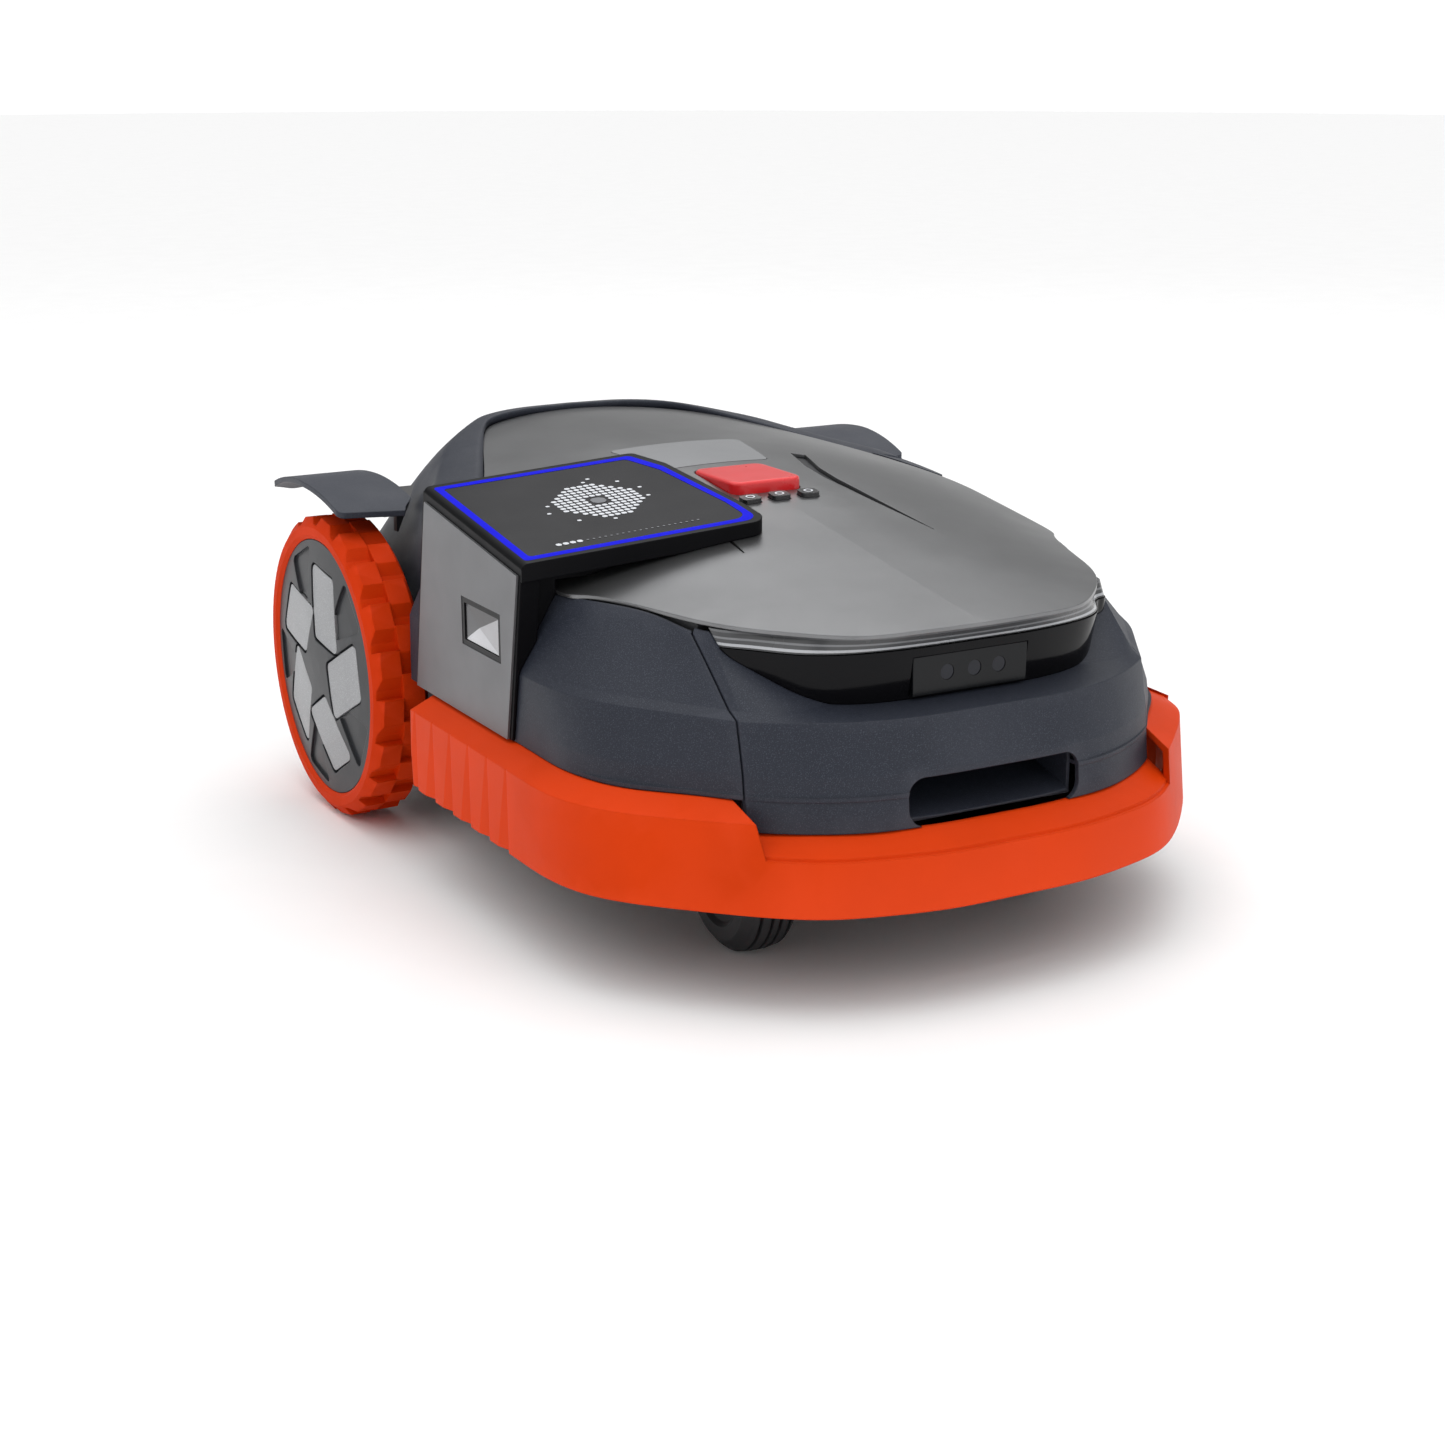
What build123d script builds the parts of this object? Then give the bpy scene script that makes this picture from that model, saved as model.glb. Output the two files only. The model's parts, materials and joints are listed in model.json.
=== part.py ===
from build123d import *
from math import cos, degrees, hypot, pi, radians, sin
import os

# Robotic lawn mower, millimetres. +Z up, ground at z = 0, front towards -Y,
# symmetric about x = 0, origin under the middle of its bounding box.

# ---- driving dimensions -------------------------------------------------
WHEEL_FACE_X = 254.0         # outer face of each rear tyre
WHEEL_R = 116.5              # rear tyre over its lugs
WHEEL_Y = 217.5              # rear axle
TYRE_W = 43.0
HUB_R = 99.0                 # hub cap edge
LUG_STEP = 6.0
LUGS = 20
CASTER_X = 113.0
CASTER_Y = -213.0            # swivel axis of each front caster
CASTER_TRAIL = 22.0
CASTER_R = 46.0
CASTER_W = 42.0
WALL = 3.5                   # casing wall
SEAM = 0.5                   # half of the gap between neighbouring panels
BUMPER_Z = 66.0              # lower edge of the bumper
BUMPER_OUT_Z = 123.0         # outer edge of its sloping top
BUMPER_LIP_Z = 132.0         # where the top meets the body
NOTCH_DROP = 20.0            # the front of the top sits lower
BUMPER_REAR_Y = 52.0
PANEL_REAR_Y = 96.0          # side panels stop ahead of the wheels
FRONT_SEAM_X = 158.0         # seam between front and side panels
PLATE_T = 3.0
DISC_Y = -20.0               # blade spindle
DISC_Z = 42.0                # underside of the blade disc at its rest height
DISC_R = 88.0
BLADE_R = 118.0


# ---- outline helpers ----------------------------------------------------
def inset(points, distance):
    """Half outline moved inwards by a distance, square to its own line."""
    moved = []
    last = len(points) - 1
    for i, (x, y) in enumerate(points):
        ax, ay = points[max(i - 1, 0)]
        bx, by = points[min(i + 1, last)]
        if i == 0:
            ax, ay = -bx, by
        dx, dy = bx - ax, by - ay
        size = hypot(dx, dy)
        moved.append((x - dy / size * distance, y + dx / size * distance))
    return moved


def along(a, b):
    """Unit direction from b to a, level with the ground."""
    size = hypot(a[0] - b[0], a[1] - b[1])
    return ((a[0] - b[0]) / size, (a[1] - b[1]) / size, 0)


def nose_face(points, rear_y, z, corner=None):
    """Closed face: a smooth nose through the mirrored half outline, straight sides, flat back.
    With a corner index, the nose and the two flanks are separate curves that meet there."""
    half = [(x, y, z) for x, y in points]
    left = [(-x, y, z) for x, y in points[:0:-1]]
    side_x = points[-1][0]
    if corner:
        split = len(left) - corner
        nose = [Spline(*left[:split + 1], tangents=[(0, -1, 0), along(left[split], left[split - 1])]),
                Spline(*(left[split:] + half[:corner + 1])),
                Spline(*half[corner:], tangents=[along(half[corner + 1], half[corner]), (0, 1, 0)])]
    else:
        nose = [Spline(*(left + half), tangents=[(0, -1, 0), (0, 1, 0)])]
    right_rear = (side_x, rear_y, z)
    left_rear = (-side_x, rear_y, z)
    back = Polyline(half[-1], right_rear, left_rear, left[0])
    return make_face(Curve() + nose + [back])


def tail_face(points, front_y, z):
    """The same, turned round: a smooth tail with straight sides running forwards."""
    half = [(x, y, z) for x, y in points]
    left = [(-x, y, z) for x, y in points[:0:-1]]
    side_x = points[-1][0]
    tail = Spline(*(left + half), tangents=[(0, 1, 0), (0, -1, 0)])
    right_front = (side_x, front_y, z)
    left_front = (-side_x, front_y, z)
    front = Polyline(half[-1], right_front, left_front, left[0])
    return make_face(Curve() + [tail, front])


def stack(faces):
    """Solid through a stack of plan faces, with straight rulings between levels."""
    return loft(faces, ruled=True)


def prism(face, z0, z1):
    return extrude(Pos(0, 0, z0) * face, z1 - z0, dir=(0, 0, 1))


def box(x0, x1, y0, y1, z0, z1):
    return Pos((x0 + x1) / 2, (y0 + y1) / 2, (z0 + z1) / 2) * Box(x1 - x0, y1 - y0, z1 - z0)


def mirror_x(shape):
    return mirror(shape, about=Plane.YZ)


# ---- body envelope ------------------------------------------------------
# Half outlines from the nose centre to the flank, at rising heights.
LIP = [(0, -320), (50, -319), (92, -313), (120, -301), (158, -274), (187, -241), (212, -213),
       (227, -178), (229, -110)]
FACET_LOW = [(0, -316), (55, -314.5), (92, -307), (118, -296), (158, -268), (188, -232),
             (211, -202), (226, -163), (228.5, -100)]
FACET_HIGH = [(0, -307), (58, -306), (93, -298), (117, -288), (157, -262), (189, -215),
              (212, -178), (225, -135), (228, -80)]
LEDGE = [(0, -264), (58, -265), (88, -268), (113, -271), (154, -256), (186, -209), (209, -172),
         (222, -130), (226, -78)]
SHOULDER = [(0, -165), (50, -167), (85, -173), (108, -181), (151, -205), (176, -150),
            (189, -119), (198, -92), (202, -60)]
PLATE_NOSE = [(0, -296.5), (50, -293), (84, -285), (112, -264), (139, -233), (155, -204),
              (166, -174), (189, -119), (202, -60)]
FACET_LOW_Z, FACET_HIGH_Z, LEDGE_Z, SHOULDER_Z, CROWN_Z = 148.0, 181.0, 186.0, 235.0, 300.0
BODY_FLOOR_Z = 100.0
SEAM_INDEX = 4               # the outlines' fifth point lies on the front seam

# Half outlines of the tail, from its centre forwards.
TAIL_LOW = [(0, 345.5), (70, 343), (130, 332), (168, 311), (188, 275), (197, 225), (201, 170)]
TAIL_HIGH = [(0, 302), (58, 297.5), (99, 275), (150, 214), (188, 153), (202, 118)]
TAIL_WAIST_Z, TAIL_TOP_Z = 190.0, 282.0


def front_envelope(skin=0.0):
    """Front body; a skin thickness gives the cavity inside it, which is also that much lower."""
    levels = [(LIP, BODY_FLOOR_Z - skin), (FACET_LOW, FACET_LOW_Z - skin / 2),
              (FACET_HIGH, FACET_HIGH_Z - skin), (LEDGE, LEDGE_Z - skin * 1.2),
              (SHOULDER, SHOULDER_Z - skin / 2), (inset(SHOULDER, 17), CROWN_Z + skin)]
    faces = [nose_face(inset(pts, skin), PANEL_REAR_Y - skin, z, SEAM_INDEX) for pts, z in levels]
    return stack(faces)


def tail_envelope(skin=0.0, front_y=40.0):
    levels = [(TAIL_LOW, BODY_FLOOR_Z - 36), (TAIL_LOW, TAIL_WAIST_Z), (TAIL_HIGH, TAIL_TOP_Z),
              (TAIL_HIGH, CROWN_Z + 4)]
    faces = []
    for points, z in levels:
        flipped = [(x, -y) for x, y in points]
        shrunk = [(x, -y) for x, y in inset(flipped, skin)]
        faces.append(tail_face(shrunk, front_y, z))
    return stack(faces)


# Crown of the top: (y, height at the centre, radius across). The rim rises behind the plate.
PLATE_CROWN = [(-352, 226, 1600), (-296, 233, 1500), (-200, 246.5, 950), (-120, 258.5, 780),
               (-41, 270, 750), (40, 280, 750), (125, 285.5, 740), (194, 288, 720),
               (250, 289, 650), (352, 290, 600)]
RIM_CROWN = [(-352, 226, 1600), (-296, 233, 1500), (-200, 246.5, 950), (-120, 258.5, 780),
             (-41, 270, 750), (40, 280.5, 745), (125, 287, 700), (194, 290.5, 620),
             (250, 292, 560), (352, 293, 540)]


def crown(stations, drop=0.0, half_width=262.0, base_z=40.0):
    """Solid under a top skin that is arched across and runs through the stations."""
    sections = []
    for y, top, radius in stations:
        edge = top - drop - (radius - (radius ** 2 - half_width ** 2) ** 0.5)
        arch = ThreePointArc((-half_width, y, edge), (0, y, top - drop), (half_width, y, edge))
        legs = Polyline((half_width, y, edge), (half_width, y, base_z), (-half_width, y, base_z),
                        (-half_width, y, edge))
        sections.append(make_face(Curve() + [arch, legs]))
    return loft(sections)


PLATE_TAIL = [(202, -5), (195, 38), (178, 76), (153, 126), (130, 178), (97, 248), (80, 270),
              (48, 282), (0, 286)]


def plate_outline(gap=0.0):
    """Plan of the satin top plate: rounded nose, straight flanks, narrowing tail."""
    nose = inset(PLATE_NOSE, gap)
    tail = [(x, -y) for x, y in inset([(x, -y) for x, y in PLATE_TAIL[::-1]], gap)][::-1]
    front = Spline(*([(-x, y) for x, y in nose[:0:-1]] + nose), tangents=[(0, -1), (0, 1)])
    rear_points = tail + [(-x, y) for x, y in tail[-2::-1]]
    rear = Spline(*rear_points, tangents=[(0, 1), (0, -1)])
    right = Line(nose[-1], tail[0])
    left = Line((-tail[0][0], tail[0][1]), (-nose[-1][0], nose[-1][1]))
    return make_face(Curve() + [front, right, rear, left])


def common(shape, other):
    """What two shapes share, as one part."""
    return Part() + list((shape & other).solids())


def both_sides(shape):
    """A symmetric shape rebuilt from its left half, as one solid."""
    half = common(shape, box(0, 300, -400, 400, 100, 330))
    return half + mirror_x(half)


def rounded(x0, x1, y0, y1, radius):
    """Rounded rectangle in plan."""
    return Pos((x0 + x1) / 2, (y0 + y1) / 2) * RectangleRounded(x1 - x0, y1 - y0, radius)


def tube_x(x0, x1, radius, y, z):
    """Cylinder lying along X."""
    return Pos((x0 + x1) / 2, y, z) * Rot(0, 90, 0) * Cylinder(radius, x1 - x0)


def post(x, y, z0, z1, radius):
    """Upright cylinder."""
    return Pos(x, y, (z0 + z1) / 2) * Cylinder(radius, z1 - z0)


def edges_within(shape, x=None, y=None, z=None, minimum=4.0):
    """Edges whose centre lies in the given ranges."""
    found = []
    for edge in shape.edges():
        c = edge.center()
        inside = all(r is None or r[0] <= v <= r[1] for v, r in zip((c.X, c.Y, c.Z), (x, y, z)))
        if inside and edge.length > minimum:
            found.append(edge)
    return found


def save(name, shape):
    solids = shape.solids() if hasattr(shape, "solids") else [shape]
    shape = solids[0] if len(solids) == 1 else Compound(children=list(solids))
    shape.label = name
    export_step(shape, os.path.join("parts", name + ".step"))


# ---- casing panels ------------------------------------------------------
SEAM_BREAK_Y = -203.0        # behind this the deck takes over from the front panel
FLANGE_Z = (132.6, 135.6)
DOCK_X, DOCK_Z = 63.0, (115.0, 141.0)
DOCK_THROAT_X, DOCK_THROAT_Z = 33.0, (127.0, 140.0)


def body_skin():
    outer = common(front_envelope() + tail_envelope(), crown(RIM_CROWN))
    roof = crown(PLATE_CROWN, PLATE_T + WALL + 0.5)
    cavity = common(front_envelope(WALL) + tail_envelope(WALL), roof)
    pocket = Part() + (prism(plate_outline(-SEAM), 205, 320) - crown(PLATE_CROWN, PLATE_T))
    return outer - cavity - pocket


def make_panels():
    skin = body_skin()
    high = 330
    front_zone = box(-FRONT_SEAM_X + SEAM, FRONT_SEAM_X - SEAM, -400, SEAM_BREAK_Y, 112.6, high)
    flank_zone = box(-300, -FRONT_SEAM_X - SEAM, -400, PANEL_REAR_Y + 1, 132.6, high)
    flank_zone += box(-FRONT_SEAM_X - 1, -140, SEAM_BREAK_Y + 1, PANEL_REAR_Y + 1, 132.6, high)
    under_plate = prism(plate_outline(-SEAM - 1.2), 190, high)
    under_plate += common(prism(plate_outline(-SEAM - 4), 190, high), box(-300, 300, 26, 96, 190, high))
    front = common(skin, front_zone) - prism(plate_outline(-SEAM), 226, high)
    flange_ring = prism(nose_face(inset(LIP, 3), 60, 0), *FLANGE_Z) - prism(
        nose_face(inset(LIP, 13), 60, 0), 130, 140)
    half_front = FRONT_SEAM_X - SEAM
    front += common(flange_ring, box(-half_front, half_front, -400, -240, 130, 140))
    right = common(skin, flank_zone) - under_plate
    right += common(flange_ring, box(-300, -FRONT_SEAM_X - SEAM, -300, 55, 130, 140))
    rear = common(skin, box(-300, 300, PANEL_REAR_Y + 1.5, 400, 60, high)) - under_plate
    return front, right, rear


def make_deck():
    """Inner deck that carries the plate, with wells for the controls."""
    deck = arched_slab(plate_outline(2.2), PLATE_CROWN, -PLATE_T, PLATE_T + WALL)
    deck = common(deck, box(-300, 300, SEAM_BREAK_Y + 1, 400, 190, 330))
    deck -= prism(stop_plan(0.8), 200, 330)
    for x in KEY_X:
        deck -= prism(key_plan(x, 0.5), 200, 330)
    return both_sides(deck)


# ---- top plate, visor and lamps -----------------------------------------
STOP_X, STOP_Y, STOP_TOP = 29.0, (-31.0, 33.0), 280.0
STOP_TRAVEL = 3.0
KEY_X, KEY_Y, KEY_SIZE, KEY_TRAVEL = (-24.0, 0.0, 24.0), -45.0, (15.0, 11.0), 1.2
VISOR_TOP = [(0, -286), (50, -285), (86, -279), (118, -262), (139, -236), (152, -211)]
VISOR_FOOT = [(0, -279), (50, -278.5), (84, -273), (110, -260), (131, -238), (150, -210)]
VISOR_Z = (176.0, 218.5)
STRIP_Z = (219.0, 229.4)
SEAT_REAR_Y = -200.0
STRIP_TOP = [(0, -293.5), (50, -290), (83, -282), (110, -261), (136, -232), (151, -207)]
SENSOR_X, SENSOR_R = (-18.0, 3.0, 22.0), 5.0


def arched_slab(face, stations, rise, thickness):
    """Plan shape cut from a thin skin that follows the crown."""
    solid = common(prism(face, 150, 330), crown(stations, -rise))
    return Part() + (solid - crown(stations, thickness - rise))


def gash(side):
    """Long tapering slit through the plate beside the stop button."""
    points = [(84, 58), (74, 64), (63, 24), (61, -6), (67, -60), (76.5, -128), (77.5, -128), (73, -60),
              (70.5, -8), (73, 20)]
    plan = make_face(Polyline(*[(side * x, y) for x, y in points], close=True))
    return prism(plan, 200, 330)


def stop_plan(gap=0.0):
    x, (y0, y1) = STOP_X + gap, STOP_Y
    return rounded(-x, x, y0 - gap, y1 + gap, 9 + gap)


def key_plan(x, gap=0.0):
    w, d = KEY_SIZE
    return rounded(x - w / 2 - gap, x + w / 2 + gap, KEY_Y - d / 2 - gap, KEY_Y + d / 2 + gap, 3.5 + gap)


def make_top_plate():
    plate = arched_slab(plate_outline(0.0), PLATE_CROWN, 0.0, PLATE_T - 0.3)
    plate -= gash(-1) + gash(1)
    plate -= prism(stop_plan(0.8), 200, 330)
    for x in KEY_X:
        plate -= prism(key_plan(x, 0.5), 200, 330)
    return both_sides(plate - prism(keypad_plan(0.4), 250, 330))


def keypad_plan(gap=0.0):
    front, rear = 43.0 + gap, 56.0 + gap
    corners = [(-front, 44 - gap), (front, 44 - gap), (rear, 113 + gap), (-rear, 113 + gap)]
    return make_face(FilletPolyline(*corners, radius=5, close=True))


def seat_face(points, z):
    """Closed plan face with the visor's curved nose and a flat back."""
    return nose_face(points, SEAT_REAR_Y, z)


def make_visor():
    block = stack([seat_face(VISOR_FOOT, VISOR_Z[0]), seat_face(VISOR_TOP, VISOR_Z[1])])
    body = front_envelope(-0.3)
    hollow = stack([seat_face(inset(VISOR_FOOT, 4), VISOR_Z[0] - 1),
                    seat_face(inset(VISOR_TOP, 4), VISOR_Z[1] - 3)])
    shell = block - hollow - body
    shell = max(shell.solids(), key=lambda s: s.volume)
    return Part() + shell - prism(rounded(-44.5, 44.5, -300, -272, 1), 186.5, 212.5)


def make_light_strip():
    lower = inset(VISOR_TOP, 0.8)
    upper = STRIP_TOP
    strip = stack([seat_face(lower, STRIP_Z[0]), seat_face(upper, STRIP_Z[1])]) - front_envelope(-0.4)
    inner = stack([seat_face(inset(lower, 7), STRIP_Z[0] - 1), seat_face(inset(upper, 12), STRIP_Z[1] + 1)])
    return Part() + (strip - inner) - box(-200, 200, SEAM_BREAK_Y - 1, -150, 200, 250)


def make_sensor_window():
    plan = rounded(-44, 44, -284.2, -276, 0.8)
    window = prism(plan, 187, 212)
    for x in SENSOR_X:
        window -= Pos(x, -284.2, 200) * Rot(90, 0, 0) * Cylinder(SENSOR_R + 0.2, 5)
    return window


def make_sensor_lenses():
    lenses = Part()
    for x in SENSOR_X:
        lens = Pos(x, -282.7, 200) * Rot(90, 0, 0) * Cylinder(SENSOR_R, 2.0)
        lenses += lens
    return lenses


# ---- front dock recess --------------------------------------------------
def dock_opening(grow=0.0):
    mouth = Plane.XZ * Pos(0, (DOCK_Z[0] + DOCK_Z[1]) / 2) * RectangleRounded(
        2 * (DOCK_X + grow), DOCK_Z[1] - DOCK_Z[0] + 2 * grow, 9 + grow)
    throat = Plane.XZ * Pos(0, (DOCK_THROAT_Z[0] + DOCK_THROAT_Z[1]) / 2) * RectangleRounded(
        2 * (DOCK_THROAT_X + grow), DOCK_THROAT_Z[1] - DOCK_THROAT_Z[0] + 2 * grow, 3 + grow)
    opening = Pos(0, -265 + grow, 0) * extrude(mouth, 75, dir=(0, -1, 0))
    return opening + Pos(0, -240 + grow, 0) * extrude(throat, 100, dir=(0, -1, 0))


def make_dock_liner():
    """Scooped socket of welded plates: a rising floor, and a deep throat for the station's tongue."""
    t, x, (z0, z1) = 2.4, DOCK_X, DOCK_Z
    tx, (t0, t1) = DOCK_THROAT_X, DOCK_THROAT_Z
    plates = box(-x - t, -x, -306, -265, z0, z1) + box(x, x + t, -306, -265, z0, z1)
    plates += box(-x - t, x + t, -306, -265 + t, z1, z1 + t) + box(-x - t, x + t, -306, -265 + t, z0 - t, z0)
    ramp_points = [(-266, z0), (-314, z0), (-306, z0 + 2), (-268, t0 - 0.5), (-266, t0 - 0.5)]
    ramp = Plane.YZ * make_face(Polyline(*ramp_points, close=True))
    plates += Pos(-x, 0, 0) * extrude(ramp, 2 * x, dir=(1, 0, 0))
    plates += box(-x - t, -tx, -265, -265 + t, z0, z1) + box(tx, x + t, -265, -265 + t, z0, z1)
    plates += box(-tx - t, -tx, -265, -240 + t, t0, t1) + box(tx, tx + t, -265, -240 + t, t0, t1)
    plates += box(-tx - t, tx + t, -265, -240 + t, t1, t1 + t) + box(-tx - t, tx + t, -265, -240 + t, t0 - t, t0)
    plates += box(-tx, tx, -240, -240 + t, t0, t1)
    return common(plates, stack([nose_face(inset(FACET_LOW, 5.5), 60, z) for z in (100, 160)]))


def make_charge_contacts():
    pads = Part()
    for x in (-16, 16):
        pads += box(x - 5, x + 5, -242, -240, 129, 138)
    return pads


# ---- bumper -------------------------------------------------------------
BUMPER_FOOT = [(0, -345.5), (50, -344.5), (95, -335.5), (130, -323), (161, -301), (198, -264.5),
               (226, -232), (239, -209), (246, -184), (249, -122)]
BUMPER_EDGE = [(0, -338.5), (50, -337), (93, -328.5), (127, -316), (157, -294), (194, -259),
               (222, -229), (236, -206), (244.5, -182), (248, -122)]
BUMPER_WALL = 4.5
BUMPER_TRAVEL = 4.0
RIBS, RIB_PITCH, RIB_FIRST_Y, RIB_DEPTH = 6, 31.0, -121.0, 3.6


def bumper_level(drop):
    """Wall and sloping top of the bumper; the front uses the same section, lowered."""
    rear = BUMPER_REAR_Y
    lip = [(x, y) for x, y in inset(BUMPER_EDGE, 19.5)]
    foot, edge, top = BUMPER_Z, BUMPER_OUT_Z - drop, BUMPER_LIP_Z - drop
    outer = stack([nose_face(BUMPER_FOOT, rear, foot), nose_face(BUMPER_EDGE, rear, edge),
                   nose_face(lip, rear, top)])
    w = BUMPER_WALL
    inner = stack([nose_face(inset(BUMPER_FOOT, w), rear + 9, foot - 1),
                   nose_face(inset(BUMPER_EDGE, w), rear + 9, edge - 3),
                   nose_face(inset(BUMPER_EDGE, 19.5), rear + 9, top - 4)])
    well = prism(nose_face(inset(BUMPER_EDGE, 22.5), rear + 9, 0), foot - 2, top + 5)
    return Part() + (outer - inner - well)


def make_bumper():
    high, low = bumper_level(0.0), bumper_level(NOTCH_DROP)
    step = [(-FRONT_SEAM_X - 5, 134), (-FRONT_SEAM_X, 101), (FRONT_SEAM_X, 101),
            (FRONT_SEAM_X + 5, 134)]
    gap = extrude(Plane.XZ * make_face(Polyline(*step, close=True)), 130, dir=(0, -1, 0))
    notch = Pos(0, -225, 0) * gap
    bumper = (high - notch) + common(low, Pos(0, -225, -21) * gap + box(-400, 400, -400, -225, 60, 101))
    for i in range(RIBS):
        y = RIB_FIRST_Y + RIB_PITCH * i
        for side in (-1, 1):
            valley = (side * (249 - RIB_DEPTH), y + RIB_PITCH * 0.30)
            crest = (side * 250.5, y + RIB_PITCH - 1)
            groove = make_face(Polyline((side * 252, y + 2), valley, crest, (side * 256, y + 16),
                                        close=True))
            bumper -= loft([Pos(0, 0, 60) * groove, Pos(side * 2.0, 0, 124) * groove], ruled=True)
    return bumper


# ---- display module on the right flank ----------------------------------
SLAB_X, SLAB_Y = (-231.0, -43.0), (-107.0, 54.0)
SLAB_LOW, SLAB_HIGH = (-107.5, 258.0), (45.5, 281.0)     # (y, z) on its sloping top
SLAB_T = 12.0
SLAB_SLOPE = 0.06
RIBBON_X = -232.6
RIBBON_FOOT_Z = 133.6
RIBBON_SHIFT = 26.0          # the ribbon leans back by this much from top to foot


def slab_height(y):
    """Height of the display face along its outer edge; it rises towards the middle."""
    (y0, z0), (y1, z1) = SLAB_LOW, SLAB_HIGH
    return z0 + (z1 - z0) * (y - y0) / (y1 - y0)


def slab_wedge(bottom, top):
    """Everything between two planes that run parallel to the display face."""
    (y0, z0), (y1, z1) = SLAB_LOW, SLAB_HIGH
    face = Plane(origin=(SLAB_X[0], y0, z0), x_dir=(1, 0, SLAB_SLOPE),
                 z_dir=(-SLAB_SLOPE, (z0 - z1) / (y1 - y0), 1))
    return face * Pos(0, 0, (bottom + top) / 2) * Box(800, 800, top - bottom)


def slab_plan(gap=0.0):
    (x0, x1), (y0, y1) = SLAB_X, SLAB_Y
    points = [(x0 + gap, y0 + gap), (x1 - gap - 2, y0 + gap), (x1 - gap - 2, y0 + gap + 32),
              (x1 - gap - 12, y1 - gap - 30), (x1 - gap - 24, y1 - gap), (x0 + gap, y1 - gap)]
    radii = [0, 13, 10, 8, 6, 0]
    return make_face(FilletPolyline(*points, radius=radii, close=True))


def leg_side(gap, foot=RIBBON_FOOT_Z):
    """Side view of the leg that folds down the flank."""
    y0, y1 = SLAB_Y
    z0, z1 = slab_height(y0), slab_height(y1)
    lean0 = RIBBON_SHIFT * (z0 - foot) / 150.0
    lean1 = RIBBON_SHIFT * (z1 - foot) / 150.0
    points = [(y0 + gap, z0 - gap), (y1 - gap, z1 - gap), (y1 - gap + lean1, foot),
              (y0 + gap + lean0, foot)]
    return Plane.YZ * make_face(Polyline(*points, close=True))


def make_display_housing():
    slab = common(prism(slab_plan(), 200, 330), slab_wedge(-SLAB_T, 0))
    shoulder = edges_within(slab, x=(SLAB_X[0] - 1, SLAB_X[0] + 1), z=(240, 290), minimum=100)
    slab = fillet([e for e in shoulder if e.center().Z > slab_height(e.center().Y) - 2], 5)
    neck = common(prism(slab_plan(14), 200, 330), slab_wedge(-60, -SLAB_T + 1))
    leg = Pos(SLAB_X[0], 0, 0) * extrude(leg_side(0.0), 14, dir=(1, 0, 0))
    leg = common(leg, slab_wedge(-300, -3))
    body = common(front_envelope(-0.5), crown(RIM_CROWN, -0.5))
    housing = slab + neck + leg - body
    housing -= common(prism(plate_outline(-0.6), 180, 330), crown(PLATE_CROWN, -0.4))
    housing -= arched_slab(plate_outline(-0.3), PLATE_CROWN, 0.3, 2 * PLATE_T + WALL + 1)
    housing -= common(prism(plate_outline(-2.5), 200, 242), box(-260, -150, -112, 0, 200, 242))
    housing -= common(prism(slab_plan(9.5), 200, 330), slab_wedge(-1.6, 3))
    window = box(-240, -228.4, CAMERA_Y[0], CAMERA_Y[1], *CAMERA_Z)
    return max((housing - window).solids(), key=lambda piece: piece.volume)


CAMERA_Y, CAMERA_Z = (-74.0, -10.0), (184.0, 218.0)


def make_display_glass():
    return common(prism(slab_plan(9.8), 200, 330), slab_wedge(-1.55, -0.1))


def make_side_ribbon():
    panel = Pos(RIBBON_X, 0, 0) * extrude(leg_side(4.5), -RIBBON_X + SLAB_X[0], dir=(1, 0, 0))
    panel = common(panel, slab_wedge(-300, -9))
    y0, y1 = CAMERA_Y
    return panel - box(-240, -220, y0, y1, *CAMERA_Z)


def make_side_camera():
    """Black window frame, standing in the ribbon's cut-out."""
    (y0, y1), (z0, z1) = CAMERA_Y, CAMERA_Z
    frame = box(RIBBON_X + 0.4, -228.7, y0 + 0.3, y1 - 0.3, z0 + 0.3, z1 - 0.3)
    return frame - box(-240, -229.6, y0 + 4, y1 - 4, z0 + 4, z1 - 4)


def make_side_camera_lens():
    (y0, y1), (z0, z1) = CAMERA_Y, CAMERA_Z
    return box(-231.2, -229.6, y0 + 4.3, y1 - 4.3, z0 + 4.3, z1 - 4.3)


# ---- fenders ------------------------------------------------------------
FENDER_R, FENDER_Y, FENDER_TOP, FENDER_T = 200.0, 244.0, 258.0, 4.0


def make_fender():
    """Left fender: an arched blade over the tyre, its rear drawn out to a point."""
    plan = make_face(FilletPolyline((187, 166), (251, 172), (254.5, 240), (251, 314), (228, 330),
                                    (196, 300), radius=[8, 6, 60, 5, 10, 20], close=True))
    centre_z = FENDER_TOP - FENDER_R
    blade = tube_x(150, 290, FENDER_R, FENDER_Y, centre_z) - tube_x(
        150, 290, FENDER_R - FENDER_T, FENDER_Y, centre_z)
    body = common(tail_envelope(-0.6), crown(RIM_CROWN, -0.6))
    return common(prism(plan, 150, 300), blade) - body


def make_fender_arm():
    """Bracket from the tail casing out to the fender."""
    arm = box(150, 215, 172, 214, 238, 252) + box(150, 198, 190, 196, 222, 240)
    centre_z = FENDER_TOP - FENDER_R
    arm = common(arm, tube_x(100, 300, FENDER_R - FENDER_T, FENDER_Y, centre_z))
    arm -= common(tail_envelope(), crown(RIM_CROWN))
    return max(arm.solids(), key=lambda piece: piece.volume)


# ---- rear wheels (left one, its mirror image is the right) --------------
PAD_COUNT, PAD_R, PAD_TILT, PAD_SIZE = 5, 52.0, 28.0, (62.0, 41.0)
CAP_EDGE_X, CAP_TOP_X, CAP_BACK_X = 251.5, 258.0, 245.5
RIM_R = 99.0
AXLE_R = 9.0


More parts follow.
